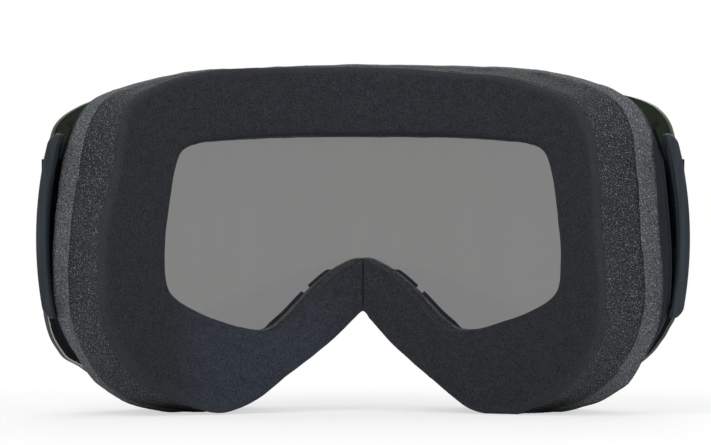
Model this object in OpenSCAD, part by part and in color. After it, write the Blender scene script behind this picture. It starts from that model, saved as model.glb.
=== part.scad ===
// Motocross goggles, standing on their two cheek lobes.
// +X is the wearer's right, +Y the way the wearer looks, +Z up.
// The foam and its plate lie on upright cylinders about the head's axis.
// The lens lies on an upright cylinder of its own, and the frame's wall joins the two.

/* [Face foam] */
// Radius of the fleece that meets the face, at the middle of its width
face_radius = 90.5; // [84:0.5:100]
// Thickness of the fleece layer
fleece_t = 2; // [1.2:0.1:3]
// Thickness of the coarse middle foam
middle_foam_t = 11; // [7:0.5:14]
// Thickness of the dense base foam
base_foam_t = 4.5; // [3:0.5:7]
// How far the fleece is crowned towards the face
fleece_crown = 0.9; // [0.2:0.1:1.5]
// How far the middle foam's sides draw in
side_draw = 0.6; // [0:0.1:1.2]
// How far the outer walls lean in from the plate to the fleece, above the eye port
pad_lean = 2.4; // [0:0.2:4]
// Glue line between two glued layers
glue_gap = 0.05; // [0.02:0.01:0.1]

/* [Face plate] */
// Thickness of the plate that carries the foam
plate_t = 1.6; // [1.2:0.1:2.4]
// How far the plate stands out past the foam
plate_lip = 0.3; // [0.1:0.1:0.6]
// How far the nose rims stand into the eye port
nose_rim_w = 0.9; // [0.6:0.1:3]
// Width of the square notches in the nose rims
notch_w = 2.6; // [1.5:0.1:4]
// Depth of the square notches
notch_depth = 0.9; // [0.6:0.1:2]

/* [Frame] */
// Wall thickness
wall_t = 2.2; // [1.6:0.1:3]
// How far the wall's back edge is set in from the foam's outline
wall_setback = 2.6; // [1.8:0.1:3.5]
// How far the wall bulges out between the face plate and the lens
wall_bulge = 0.5; // [0:0.1:1.5]
// Width of the seat behind the lens, from the wall's outer face
seat_w = 7; // [6:0.5:9]
// Thickness of the seat
seat_t = 2.2; // [1.6:0.1:3]
// Width of one vent in the brow
brow_vent_w = 13; // [6:1:15]
// Length of a vent, front to back
vent_depth = 9; // [4:0.5:11]
// Width of one vent in a cheek
cheek_vent_w = 9; // [5:1:12]
// Thickness of the vent filter foam
vent_foam_t = 2; // [1:0.5:3]

/* [Lens] */
// Radius of the lens's outer face
lens_radius = 125; // [115:1:150]
// Lens thickness
lens_t = 1.5; // [1:0.1:2.5]
// How far the lens's front stands before the foam's face, at the middle
lens_reach = 40.5; // [37:0.5:46]
// How far the lens reaches past the frame's wall, above
lens_overhang = 0.9; // [0.5:0.1:1.5]
// How far it reaches past the wall at the lower corners
lens_overhang_low = 2.4; // [1.6:0.1:3]
// Thickness of the gasket behind the lens
gasket_t = 1.2; // [0.8:0.1:2]
// Width of the gasket
gasket_w = 6; // [4:0.5:8]
// Radius of the lens's snap pegs
peg_r = 1.4; // [1:0.1:1.8]
// How far the pegs stand out behind the seat
peg_reach = 1; // [0.5:0.5:2]
// Angle from the middle to each tear-off post
post_angle = 38; // [30:1:42]
// Height of the tear-off posts
post_z = 58; // [45:1:66]
// Radius of a tear-off post's stem
post_r = 1.6; // [1.2:0.1:2.2]
// Length of the stem past its foot
post_length = 4; // [3:0.5:6]

/* [Outriggers] */
// How far the hinge pins stand out from the frame's wall
hinge_stand = 3.65; // [3.65:0.05:8]
// Thickness of an outrigger
outrigger_t = 3; // [2.8:0.1:3.2]
// Height of an outrigger along its bow
outrigger_h = 53; // [48:1:56]
// Radius of the outrigger's bow, seen from behind
outrigger_bow = 114; // [110:2:300]
// Height of the outrigger's middle
outrigger_z = 54.5; // [53:0.1:54.6]
// How far below the outrigger's middle its bow stands out the furthest
bow_drop = 3.5; // [2.5:0.1:4]
// How far an outrigger reaches behind the face plate's edge
outrigger_behind = 6.2; // [4:0.2:8]
// Depth of the bar that the strap goes round
strap_bar = 4.8; // [4:0.1:6]
// Width of the strap slot, front to back
strap_slot_w = 6; // [5:0.5:7]
// Height of the strap slot
strap_slot_h = 46; // [40:1:47]
// Width of the web between the slot and the hinge
outrigger_web = 3; // [2:0.2:4]
// Rounding of the outrigger's long edges
outrigger_round = 1.2; // [0.6:0.1:1.4]
// Radius of the hinge pin
pin_r = 1.1; // [0.9:0.05:1.2]
// Radius of the hinge knuckles
knuckle_r = 2.2; // [2:0.1:2.4]
// Height of one hinge knuckle
knuckle_h = 9; // [7:0.5:10]
// Distance from the outrigger's middle to a knuckle's middle
knuckle_spread = 10.5; // [10:0.5:13]
// Height of the plate's upper and lower lugs
end_lug_h = 4; // [4:0.5:7]
// Gap between a lug and a knuckle
knuckle_gap = 0.25; // [0.1:0.05:0.5]
// Radial clearance of the pin in the outrigger
pin_clearance = 0.05; // [0.02:0.01:0.1]
// Thickness of the side plate
side_plate_t = 1.5; // [1.2:0.1:1.8]
// Radius of a rivet's shank
rivet_r = 1.1; // [0.8:0.1:1.4]

/* [Hidden] */
$fn = 48;

// Samples along one span of an outline
span_steps = 3;
// Clearance between separate rigid pieces that lie against each other
seat_gap = 0.05;
// Clearance of a side plate from the wall that it is riveted to
plate_gap = 0.15;
// Clearance of the filter foams from the wall that they are stuck to
skin_gap = 0.2;
// Clearance of the lens from its gasket
lens_gap = 0.3;
// Room under a rivet's head and tail for the bend of the wall
rivet_slack = 0.3;
// Clearance of a peg from the lens that it is glued to
peg_glue = 0.15;
// Clearance of a peg in its socket
peg_clearance = 0.2;

// Length of the cutters through the seat
peg_cut = 3 * (seat_t + gasket_t + lens_t + peg_reach);

// Radii of the layers' borders about the head's axis
fleece_back = face_radius + fleece_t;
middle_back = fleece_back + middle_foam_t;
plate_r = middle_back + base_foam_t;
plate_front = plate_r + plate_t;

// Radii about the lens's axis
lens_back = lens_radius - lens_t;
gasket_front = lens_back - lens_gap;
seat_r = gasket_front - gasket_t - seat_gap;
seat_back = seat_r - seat_t;

// Half outlines, from the top middle over the wearer's right to the nose's middle.
// Each point is [length along the cylinder, height], and the three lists go in step.
foam_outline = [
    [0, 102.2], [30.4, 101.7], [53.5, 100.3], [74, 96], [88.6, 90], [96.2, 77],
    [99.4, 60], [100.8, 42], [98.2, 26], [88.3, 12.3], [74.9, 4.5], [60.2, 0.5],
    [48.1, 0.2], [36.7, 4.1], [24.2, 12.2], [12, 20.1], [2.6, 28], [0, 29.7]
];
port_outline = [
    [0, 81.4], [24.2, 81.1], [45, 79.9], [58.5, 78.5], [65.6, 75.9], [68.7, 69.5],
    [71.2, 57], [72.3, 43.5], [70.3, 35.5], [60, 29.9], [48, 26.3], [38.3, 24.3],
    [30, 24], [24.6, 27.5], [17.4, 34.8], [10.2, 41], [3.6, 44.5], [0, 45.1]
];
lens_outline = [
    [0, 97.5], [31.3, 97.2], [57, 96], [75.5, 93.9], [91.5, 89.9], [101.9, 82.6],
    [103.6, 66], [103.9, 46], [104, 28], [94.8, 14.2], [75.5, 4.2], [61.5, 0.6],
    [49.7, 0.1], [38.6, 3.6], [27.2, 11.2], [15, 21.3], [4.5, 30], [0, 32]
];

// Height of the cutters that reach past the whole part
cutter_h = foam_outline[0][1] + 10 * plate_t;
// Width of the foam above the port
pad_width = foam_outline[0][1] - port_outline[0][1];

// Places along the outlines, counted in control points from the top middle
brow_foam_reach = 7 / 3;
cheek_foam_from = 29 / 3;
cheek_foam_to = 37 / 3;
side_plate_from = 14 / 3;
side_plate_to = 23 / 3;
nose_rim_from = 12;
nose_rim_to = 15.25;
peg_places = [1.3, 3.2, 10.6, 13.6];
notch_places = [14.1];
// Where the outer walls' lean starts to fade, and where it is gone
lean_full_to = 9.5;
lean_gone_at = 12;
brow_vent_places = [0.5, 1.15, 1.85];
cheek_vent_places = [10.35, 11.45];
rivet_places = [5.6, 6.5, 7.4];
widest_place = 6.55;

// Where the lower corners begin, and over which height the lens's overhang grows to its full width
low_corner_top = 45;
low_corner_h = 20;

// Shares of the frame's depth, from the face plate to the lens
vent_middle = 0.44;
vent_foam_from = 0.14;
vent_foam_to = 0.7;
side_plate_back = 0.22;
side_plate_front = 0.82;
rivet_depth = 0.64;

// A closed loop from a half outline
function mirrored(half) = concat(half, [for (i = [len(half) - 2:-1:1]) [-half[i][0], half[i][1]]]);

// Direction of the loop at control point i
function heading(p, i) =
    let (n = len(p), before = p[(i - 1 + n) % n], here = p[i % n], after = p[(i + 1) % n])
    (after - before) / (norm(after - here) + norm(here - before));

// Point at a share t of the span after control point i, and the loop's direction there
function span_point(p, i, t) =
    let (a = p[i], b = p[(i + 1) % len(p)], reach = norm(b - a))
    a * (2 * pow(t, 3) - 3 * t * t + 1) + b * (3 * t * t - 2 * pow(t, 3))
    + heading(p, i) * reach * (pow(t, 3) - 2 * t * t + t)
    + heading(p, i + 1) * reach * (pow(t, 3) - t * t);

// The loop's point at place u, counted in control points
function loop_point(p, u) =
    let (place = (u + len(p)) % len(p))
    span_point(p, floor(place), place - floor(place));

// The outline at place u, set in by d and never below the ground
function outline_at(half, u, d = 0) =
    let (
        p = mirrored(half),
        here = loop_point(p, u),
        way = loop_point(p, u + 0.02) - loop_point(p, u - 0.02),
        unit = way / norm(way)
    )
    [here[0] + d * unit[1], max(0, here[1] - d * unit[0])];

// A point on a cylinder: length along the reference radius, height, actual radius, axis
function wrapped(flat, reference, radius, axis_y) =
    let (angle = flat[0] / reference * 180 / PI)
    [radius * sin(angle), axis_y + radius * cos(angle), flat[1]];

// All the places along a loop, and those of a stretch of it at the same steps
loop_places = [for (i = [0:(2 * len(foam_outline) - 2) * span_steps - 1]) i / span_steps];
function places(from, to) = [for (i = [0:round((to - from) * span_steps)]) from + i / span_steps];

// Share of a pad's width by which its outer wall has leaned in at place u and a radius
function lean_at(u, radius) =
    let (
        side = min(u, len(loop_places) / span_steps - u),
        fade = min(1, max(0, (lean_gone_at - side) / (lean_gone_at - lean_full_to)))
    )
    fade * pad_lean / pad_width * (plate_r - radius) / (plate_r - fleece_back);

// A flat point of a pad at place u, a share of the way in from its leaning outer wall to the port
function pad_point(u, share, radius) =
    let (lean = lean_at(u, radius), across = lean + share * (1 - lean))
    outline_at(foam_outline, u) * (1 - across) + outline_at(port_outline, u) * across;

// The origin lies under the middle of the depth, from the lens's front to the foam's rearmost edge
fleece_edge = fleece_back - fleece_t * 0.55;
foam_rear = min([for (u = loop_places) wrapped(pad_point(u, 0, fleece_edge), plate_r, fleece_edge, 0)[1]]);
head_y = -(face_radius + lens_reach + foam_rear) / 2;
lens_y = head_y + face_radius + lens_reach - lens_radius;

function on_head(flat, radius) = wrapped(flat, plate_r, radius, head_y);
function on_lens(flat, radius) = wrapped(flat, lens_radius, radius, lens_y);

// How far the lens reaches past the wall at place u: more at the lower corners than above
function overhang_at(u) =
    let (
        z = outline_at(lens_outline, u)[1],
        share = min(1, max(0, (low_corner_top - z) / low_corner_h))
    )
    lens_overhang + (lens_overhang_low - lens_overhang) * share;

// A place on the lens's outline, set in along the lens from the wall's outer face
function seat_point(u, d, radius) = on_lens(outline_at(lens_outline, u, overhang_at(u) + d), radius);

// An outline on a cylinder, set in by d as seen along Y, so that a wall along Y keeps its thickness
function set_in(half, u, d, reference, radius, axis_y) =
    let (
        here = wrapped(outline_at(half, u), reference, radius, axis_y),
        way = wrapped(outline_at(half, u + 0.02), reference, radius, axis_y)
            - wrapped(outline_at(half, u - 0.02), reference, radius, axis_y),
        run = norm([way[0], way[2]]),
        x = here[0] + d * way[2] / run
    )
    [x, axis_y + sqrt(radius * radius - x * x), max(0, here[2] - d * way[0] / run)];

// The frame's wall at place u, a share v from the face plate to the lens, set in by d
function wall_point(u, v, d) =
    let (
        bulge = wall_bulge * 4 * v * (1 - v),
        back = set_in(foam_outline, u, wall_setback + d - bulge, plate_r, plate_front + seat_gap, head_y),
        front = set_in(lens_outline, u, overhang_at(u) + d - bulge, lens_radius, seat_r, lens_y)
    )
    back * (1 - v) + front * v;

// The same place on the two straight bands that the wall is built from
function band_point(u, v, d) =
    let (middle = wall_point(u, 0.5, d), end = wall_point(u, v < 0.5 ? 0 : 1, d))
    middle + (end - middle) * abs(2 * v - 1);

// The corner between the wall's inner face and the seat's back
function seat_corner(u) =
    let (
        end = wall_point(u, 1, wall_t),
        middle = wall_point(u, 0.5, wall_t),
        seat_y = lens_y + sqrt(seat_back * seat_back - end[0] * end[0])
    )
    end + (middle - end) * (end[1] - seat_y) / (end[1] - middle[1]);

// Outward direction of the frame's wall, and the wall's thickness along it
function wall_normal(u, v) =
    let (
        along = wall_point(u + 0.05, v, 0) - wall_point(u - 0.05, v, 0),
        across = wall_point(u, v + 0.05, 0) - wall_point(u, v - 0.05, 0),
        way = cross(along, across)
    )
    way / norm(way);
function wall_through(u, v) = (wall_point(u, v, 0) - wall_point(u, v, wall_t)) * wall_normal(u, v);

// The outrigger, from back to front: bar, slot, web and hinge
outrigger_back = head_y + plate_r * cos(max([for (p = foam_outline) p[0]]) / plate_r * 180 / PI)
    - outrigger_behind;
outrigger_front = outrigger_back + strap_bar + strap_slot_w + outrigger_web;
swing_gap = 0.6;
// How far a knuckle's arm reaches into the web, past the web's rounded front edge
arm_overlap = 0.4;
pin_y = outrigger_front + swing_gap + knuckle_r;

// Middles of the two knuckles, and the plate's lugs between and beyond them as [bottom, height]
knuckle_places = [outrigger_z - knuckle_spread, outrigger_z + knuckle_spread];
middle_lug_h = 2 * knuckle_spread - knuckle_h - 2 * knuckle_gap;
lug_reach = knuckle_spread + knuckle_h / 2 + knuckle_gap;
lugs = [
    [outrigger_z - middle_lug_h / 2, middle_lug_h],
    [outrigger_z + lug_reach, end_lug_h],
    [outrigger_z - lug_reach - end_lug_h, end_lug_h]
];
pin_bottom = outrigger_z - lug_reach - end_lug_h;
pin_top = outrigger_z + lug_reach + end_lug_h;

// The share of the wall's depth at the hinge pin, and the wall's outer face at a height there
pin_share = (pin_y - wall_point(widest_place, 0, 0)[1])
    / (wall_point(widest_place, 1, 0)[1] - wall_point(widest_place, 0, 0)[1]);
wall_side = [
    for (u = places(side_plate_from, side_plate_to))
        let (p = wall_point(side_plate_from + side_plate_to - u, pin_share, 0)) [p[2], p[0]]
];
function wall_x_at(z) = lookup(z, wall_side);
pin_x = wall_x_at(outrigger_z) + hinge_stand;
half_width = pin_x + knuckle_r;
bow_axis_x = half_width - outrigger_bow;

// A closed ring: sections is a list of outlines, each a list of points of one section.
// The band of faces after point number lie is split along its other diagonal, so that it
// lies flat on the next layer's last band.
module ring(sections, lie = -1) {
    n = len(sections);
    k = len(sections[0]);
    points = [for (section = sections) for (p = section) p];
    faces = [
        for (i = [0:n - 1]) for (j = [0:k - 1])
            let (
                a = i * k + j,
                b = i * k + (j + 1) % k,
                c = ((i + 1) % n) * k + (j + 1) % k,
                d = ((i + 1) % n) * k + j
            )
            for (face = j == lie ? [[a, d, b], [b, d, c]] : [[a, c, b], [a, d, c]]) face
    ];
    polyhedron(points, faces);
}

// A stretch of such a ring, closed by a cap at each end
module stretch(sections) {
    n = len(sections);
    k = len(sections[0]);
    points = [for (section = sections) for (p = section) p];
    sides = [
        for (i = [0:n - 2]) for (j = [0:k - 1])
            let (
                a = i * k + j,
                b = i * k + (j + 1) % k,
                c = (i + 1) * k + (j + 1) % k,
                d = (i + 1) * k + j
            )
            for (face = [[a, c, b], [a, d, c]]) face
    ];
    first = [for (j = [1:k - 2]) [0, j, j + 1]];
    last = [for (j = [1:k - 2]) [(n - 1) * k, (n - 1) * k + j + 1, (n - 1) * k + j]];
    polyhedron(points, concat(sides, first, last));
}

// Turns +Z to a direction and moves there
module aimed(place, way) {
    translate(place)
        rotate([0, acos(way[2]), atan2(way[1], way[0])])
            children();
}

// One foam layer. The section's points are [share from outer wall to port, radius].
module foam_ring(section) {
    ring([for (u = loop_places) [for (q = section) on_head(pad_point(u, q[0], q[1]), q[1])]], lie = 0);
}

module foam_base() {
    front = plate_r - glue_gap;
    back = middle_back;
    middle = (front + back) / 2;
    color([0.31, 0.33, 0.35])
        foam_ring([[0, back], [1, back], [1.012, middle], [1, front], [0, front], [-0.012, middle]]);
}

module foam_middle() {
    front = middle_back - glue_gap;
    back = fleece_back;
    middle = (front + back) / 2;
    // The draw as a share of the pad's usual width, from the outline to the port
    draw = side_draw / pad_width;
    color([0.22, 0.23, 0.24])
        foam_ring([
            [0, back], [1, back], [1 - draw, middle], [1, front],
            [0, front], [draw, (middle + front) / 2], [draw * 1.4, middle], [draw, (middle + back) / 2]
        ]);
}

module face_fleece() {
    front = fleece_back - glue_gap;
    shoulder = face_radius + fleece_crown * 0.35;
    crown = face_radius - fleece_crown * 0.4;
    color([0.18, 0.18, 0.2])
        foam_ring([
            [0, front], [0, fleece_edge], [0.05, shoulder], [0.25, face_radius], [0.5, crown],
            [0.75, face_radius], [0.95, shoulder], [1, fleece_edge], [1, front]
        ]);
}

// How far the nose rim stands into the port at place u, on either side
function rim_at(u) =
    let (
        side = min(u, 2 * len(foam_outline) - 2 - u),
        rise = min(1, max(0.02, (side - nose_rim_from) * 2)),
        fall = min(1, max(0.02, (nose_rim_to - side) * 3))
    )
    nose_rim_w * min(rise, fall);

module plate_blank() {
    ring([
        for (u = loop_places)
            let (
                lip = outline_at(foam_outline, u, -plate_lip),
                outer = outline_at(foam_outline, u),
                inner = outline_at(port_outline, u),
                rim = outline_at(port_outline, u, rim_at(u))
            )
            [
                on_head(lip, plate_r), on_head(outer, plate_r), on_head(inner, plate_r),
                on_head(rim, plate_r), on_head(rim, plate_front), on_head(outer, plate_front)
            ]
    ], lie = 1);
}

// A square cutter across the nose rim at place u
module rim_notch(u) {
    rim_edge = outline_at(port_outline, u, nose_rim_w);
    rim_next = outline_at(port_outline, u + 0.1, nose_rim_w);
    here = on_head(rim_edge, plate_r + plate_t / 2);
    along = rim_next - rim_edge;
    translate(here)
        rotate([0, 0, -rim_edge[0] / plate_r * 180 / PI])
            rotate([0, -atan2(along[1], along[0]), 0])
                cube([notch_w, plate_t * 4, notch_depth * 2], center = true);
}

module face_plate() {
    color([0.13, 0.15, 0.19])
        difference() {
            plate_blank();
            for (side = [0, 1]) mirror([side, 0, 0])
                for (u = notch_places) rim_notch(u);
        }
}

module frame_blank() {
    ring([
        for (u = loop_places)
            [
                wall_point(u, 0, 0), wall_point(u, 0, wall_t), wall_point(u, 0.5, wall_t),
                seat_corner(u), seat_point(u, seat_w, seat_back),
                seat_point(u, seat_w, seat_r), wall_point(u, 1, 0), wall_point(u, 0.5, 0)
            ]
    ]);
}

// A cutter through the wall at place u, square to the wall
module wall_vent(u, w, depth) {
    here = wall_point(u, vent_middle, wall_t / 2);
    turn = atan2(here[0], here[1] - head_y);
    translate(here)
        rotate([0, 0, -turn])
            cube([w, depth, wall_t * 6], center = true);
}

// Each peg stands on the middle of the seat's free width, and points back along Y
module at_pegs() {
    for (side = [0, 1]) mirror([side, 0, 0])
        for (u = peg_places)
            translate(seat_point(u, (wall_t + seat_w) / 2, seat_r)) rotate([-90, 0, 0]) children();
}

module rivet_holes() {
    for (side = [0, 1]) mirror([side, 0, 0])
        for (u = rivet_places)
            aimed(wall_point(u, rivet_depth, 0), wall_normal(u, rivet_depth))
                cylinder(r = rivet_r + seat_gap, h = wall_t * 6, center = true);
}

module frame() {
    color([0.14, 0.17, 0.21])
        difference() {
            frame_blank();
            for (side = [0, 1]) mirror([side, 0, 0]) {
                for (u = brow_vent_places) wall_vent(u, brow_vent_w, vent_depth);
                for (u = cheek_vent_places) wall_vent(u, cheek_vent_w, vent_depth);
            }
            at_pegs() cylinder(r = peg_r + peg_clearance, h = peg_cut, center = true);
            rivet_holes();
        }
}

// A skin that follows the frame's wall between two insets, at the wall's own steps
module wall_skin(from, to, back, front, near, far) {
    stretch([
        for (u = places(from, to))
            [
                band_point(u, back, near), band_point(u, back, far), band_point(u, 0.5, far),
                band_point(u, front, far), band_point(u, front, near), band_point(u, 0.5, near)
            ]
    ]);
}

module vent_skin(from, to) {
    near = wall_t + skin_gap;
    wall_skin(from, to, vent_foam_from, vent_foam_to, near, near + vent_foam_t);
}

module top_vent_foam() {
    color([0.25, 0.25, 0.27]) vent_skin(-brow_foam_reach, brow_foam_reach);
}

module bottom_vent_foam() {
    color([0.25, 0.25, 0.27]) vent_skin(cheek_foam_from, cheek_foam_to);
}

// The lens: columns from the upper to the lower outline, bent round the lens's axis
module lens() {
    half = len(lens_outline) - 1;
    columns = 14 * span_steps;
    rows = 6;
    // Columns start at the wearer's left-hand side and end at the right-hand side
    upper = [
        for (i = [0:columns])
            outline_at(lens_outline, widest_place * (2 * i / columns - 1))
    ];
    lower = [
        for (i = [0:columns])
            outline_at(lens_outline, half - (half - widest_place) * (2 * i / columns - 1))
    ];
    function sheet(radius) = [
        for (i = [0:columns]) for (j = [0:rows])
            on_lens(lower[i] + (upper[i] - lower[i]) * j / rows, radius)
    ];
    color([0.3, 0.34, 0.32, 0.6]) two_sided(sheet(lens_back), sheet(lens_radius), columns, rows);
}

// A thin solid between two like grids of points
module two_sided(inner, outer, columns, rows) {
    n = (columns + 1) * (rows + 1);
    function at(i, j) = i * (rows + 1) + j;
    cells = [for (i = [1:columns - 2]) for (j = [0:rows - 1]) [at(i, j), at(i + 1, j), at(i + 1, j + 1), at(i, j + 1)]];
    ends = [
        for (j = [0:rows - 1]) for (face = [
            [at(0, 0), at(1, j), at(1, j + 1)],
            [at(columns, 0), at(columns - 1, j + 1), at(columns - 1, j)]
        ]) face
    ];
    back = concat([for (q = cells) each [[q[0], q[1], q[2]], [q[0], q[2], q[3]]]], ends);
    front = [for (f = back) [f[0] + n, f[2] + n, f[1] + n]];
    rim = concat(
        [at(0, 0)],
        [for (i = [1:columns - 1]) at(i, 0)],
        [at(columns, 0)],
        [for (i = [columns - 1:-1:1]) at(i, rows)]
    );
    edge = [
        for (i = [0:len(rim) - 1])
            let (a = rim[i], b = rim[(i + 1) % len(rim)])
            each [[a, a + n, b + n], [a, b + n, b]]
    ];
    polyhedron(concat(inner, outer), concat(back, front, edge));
}

module lens_gasket() {
    back = seat_r + 2 * seat_gap;
    color([0.08, 0.08, 0.09])
        difference() {
            ring([
                for (u = loop_places)
                    [
                        seat_point(u, 0.5, back), seat_point(u, 0.5 + gasket_w, back),
                        seat_point(u, 0.5 + gasket_w, gasket_front), seat_point(u, 0.5, gasket_front)
                    ]
            ]);
            at_pegs() cylinder(r = peg_r + peg_clearance, h = peg_cut, center = true);
        }
}

module lens_pegs() {
    color([0.2, 0.22, 0.22])
        intersection() {
            at_pegs() {
                translate([0, 0, -(seat_t + peg_reach)]) cylinder(r = peg_r, h = peg_cut);
                translate([0, 0, -(seat_t + peg_reach)]) sphere(r = peg_r);
            }
            translate([0, lens_y, 0]) cylinder(r = lens_back - peg_glue, h = cutter_h, $fn = 180);
        }
}

module tear_off_post_right() {
    foot_t = 0.8;
    foot_r = post_r + 1.8;
    place = [lens_radius * sin(post_angle), lens_y + lens_radius * cos(post_angle), post_z];
    color([0.12, 0.13, 0.14])
        translate(place) rotate([-90, 0, -post_angle]) {
            cylinder(r = foot_r, h = foot_t);
            translate([0, 0, foot_t]) cylinder(r = post_r, h = post_length);
        }
}

module tear_off_post_left() {
    mirror([1, 0, 0]) tear_off_post_right();
}

module side_plate_right() {
    color([0.1, 0.12, 0.16])
        difference() {
            union() {
                wall_skin(side_plate_from, side_plate_to, side_plate_back, side_plate_front,
                    -plate_gap - side_plate_t, -plate_gap);
                for (lug = lugs) lug_right(lug[0], lug[1]);
            }
            translate([pin_x, pin_y, 0]) cylinder(r = pin_r, h = cutter_h);
            for (z = knuckle_places)
                translate([pin_x, pin_y, z - knuckle_h / 2 - knuckle_gap])
                    cylinder(r = knuckle_r + swing_gap / 2, h = knuckle_h + 2 * knuckle_gap);
            rivet_holes();
        }
}

// A lug round the pin, with a foot that reaches half way into the plate
module lug_right(bottom, h) {
    foot_x = wall_x_at(bottom + h / 2) + plate_gap + side_plate_t / 2;
    translate([pin_x, pin_y, bottom]) cylinder(r = knuckle_r, h = h);
    translate([foot_x, pin_y - knuckle_r * 0.8, bottom]) cube([pin_x - foot_x, knuckle_r * 1.6, h]);
}

module side_plate_left() {
    mirror([1, 0, 0]) side_plate_right();
}

module side_plate_rivets_right() {
    head_t = 0.8;
    tail_t = 0.7;
    head_base = plate_gap + side_plate_t + rivet_slack;
    color([0.5, 0.52, 0.55])
        for (u = rivet_places) {
            tail_base = -wall_through(u, rivet_depth) - rivet_slack;
            aimed(wall_point(u, rivet_depth, 0), wall_normal(u, rivet_depth)) {
                translate([0, 0, tail_base]) cylinder(r = rivet_r, h = head_base - tail_base);
                translate([0, 0, head_base]) cylinder(r = rivet_r * 1.7, h = head_t);
                translate([0, 0, tail_base - tail_t]) cylinder(r = rivet_r * 1.6, h = tail_t);
            }
        }
}

module side_plate_rivets_left() {
    mirror([1, 0, 0]) side_plate_rivets_right();
}

module hinge_pin_right() {
    head_t = 0.8;
    color([0.75, 0.76, 0.78])
        translate([pin_x, pin_y, 0]) {
            translate([0, 0, pin_bottom]) cylinder(r = pin_r, h = pin_top - pin_bottom);
            translate([0, 0, pin_top]) cylinder(r = pin_r * 1.5, h = head_t);
            translate([0, 0, pin_bottom - head_t]) cylinder(r = pin_r * 1.5, h = head_t);
        }
}

module hinge_pin_left() {
    mirror([1, 0, 0]) hinge_pin_right();
}

// A rounded slab section, with its corners as true arcs
module rounded(x0, y0, x1, y1, r) {
    translate([x0 + r, y0]) square([x1 - x0 - 2 * r, y1 - y0]);
    translate([x0, y0 + r]) square([x1 - x0, y1 - y0 - 2 * r]);
    for (x = [x0 + r, x1 - r]) for (y = [y0 + r, y1 - r]) translate([x, y]) circle(r);
}

// Sweeps a plan section, drawn as [distance from the bow's axis, y], up the bow by an arc length
module bowed(arc) {
    angle = arc / outrigger_bow * 180 / PI;
    middle = asin(bow_drop / outrigger_bow);
    translate([bow_axis_x, 0, outrigger_z - bow_drop])
        rotate([90, 0, 0])
            rotate([0, 0, middle - angle / 2])
                mirror([0, 0, 1])
                    rotate_extrude(angle = angle) children();
}

// A knuckle, with the arm that joins it to the web
module knuckle_right(z) {
    arm_back = swing_gap + knuckle_r + outrigger_round + arm_overlap;
    translate([pin_x, pin_y, z - knuckle_h / 2]) {
        cylinder(r = knuckle_r, h = knuckle_h);
        translate([-knuckle_r * 0.6, -arm_back, 0]) cube([knuckle_r * 1.2, arm_back, knuckle_h]);
    }
}

module outrigger_right() {
    inner = outrigger_bow - outrigger_t;
    color([0.2, 0.23, 0.26])
        difference() {
            union() {
                difference() {
                    bowed(outrigger_h)
                        rounded(inner, outrigger_back, outrigger_bow, outrigger_front, outrigger_round);
                    bowed(strap_slot_h)
                        translate([inner - 1, outrigger_back + strap_bar])
                            square([outrigger_t + 2, strap_slot_w]);
                }
                for (z = knuckle_places) knuckle_right(z);
            }
            translate([pin_x, pin_y, 0]) cylinder(r = pin_r + pin_clearance, h = cutter_h);
        }
}

module outrigger_left() {
    mirror([1, 0, 0]) outrigger_right();
}

frame();
face_plate();
foam_base();
foam_middle();
face_fleece();
top_vent_foam();
mirror([1, 0, 0]) bottom_vent_foam();  // bottom_vent_foam_left
bottom_vent_foam();  // bottom_vent_foam_right
lens();
lens_gasket();
lens_pegs();
tear_off_post_left();
tear_off_post_right();
side_plate_left();
side_plate_right();
side_plate_rivets_left();
side_plate_rivets_right();
hinge_pin_left();
hinge_pin_right();
outrigger_left();
outrigger_right();
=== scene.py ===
# %% [markdown]
# # Motocross goggles, seen from the wearer's side
# These goggles are a soft frame with a curved lens in front and three layers of foam behind.
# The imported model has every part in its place, so this lesson is about looks. We load the model,
# build the soft layers and the smooth shells over it, give each a material, and light it softly.

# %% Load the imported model
from math import atan2, cos, pi, sin, sqrt

import bmesh
import bpy
from mathutils import Matrix, Vector, noise


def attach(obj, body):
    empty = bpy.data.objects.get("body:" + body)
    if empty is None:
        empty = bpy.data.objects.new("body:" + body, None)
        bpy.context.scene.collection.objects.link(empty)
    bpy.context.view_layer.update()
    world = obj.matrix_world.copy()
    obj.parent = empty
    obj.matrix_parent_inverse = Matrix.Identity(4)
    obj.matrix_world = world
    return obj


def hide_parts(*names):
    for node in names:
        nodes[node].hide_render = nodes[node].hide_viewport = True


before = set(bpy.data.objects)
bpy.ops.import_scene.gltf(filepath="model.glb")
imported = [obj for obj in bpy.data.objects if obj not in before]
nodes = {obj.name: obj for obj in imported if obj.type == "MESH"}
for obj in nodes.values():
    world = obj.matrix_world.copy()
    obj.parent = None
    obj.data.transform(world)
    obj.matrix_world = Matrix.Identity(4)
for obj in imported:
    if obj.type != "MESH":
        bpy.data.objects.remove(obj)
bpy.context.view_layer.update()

# %% [markdown]
# A shape is edited as a bmesh. To be seen it is written into a mesh, the mesh goes into an object,
# and the object is linked to the scene. Two helpers do that for the pieces, camera and lamps.

# %% Objects
scene = bpy.context.scene


def new_object(name, data):
    """Makes an object of a mesh, a camera or a lamp, and puts it in the scene."""
    made = bpy.data.objects.new(name, data)
    scene.collection.objects.link(made)
    return made


def object_of(name, bm):
    mesh = bpy.data.meshes.new(name)
    bm.to_mesh(mesh)
    bm.free()
    return new_object(name, mesh)


# %% [markdown]
# ## The camera comes first
# The photo looks at the back of the goggles, square on. A long lens keeps the far rim from looking
# small. The photo's frame isn't centred on the goggles, and a small shift makes up for that.

# %% Camera
PHOTO_WIDTH = 711
PHOTO_MIDDLE = (355.5, 222.5)
PIVOT_PIXEL = (363, 240)
PIVOT = Vector((0, 0.0011, 0.0505))
CAMERA_DISTANCE = 0.93
FOCAL_PIXELS = 3158
SENSOR = 36

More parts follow.
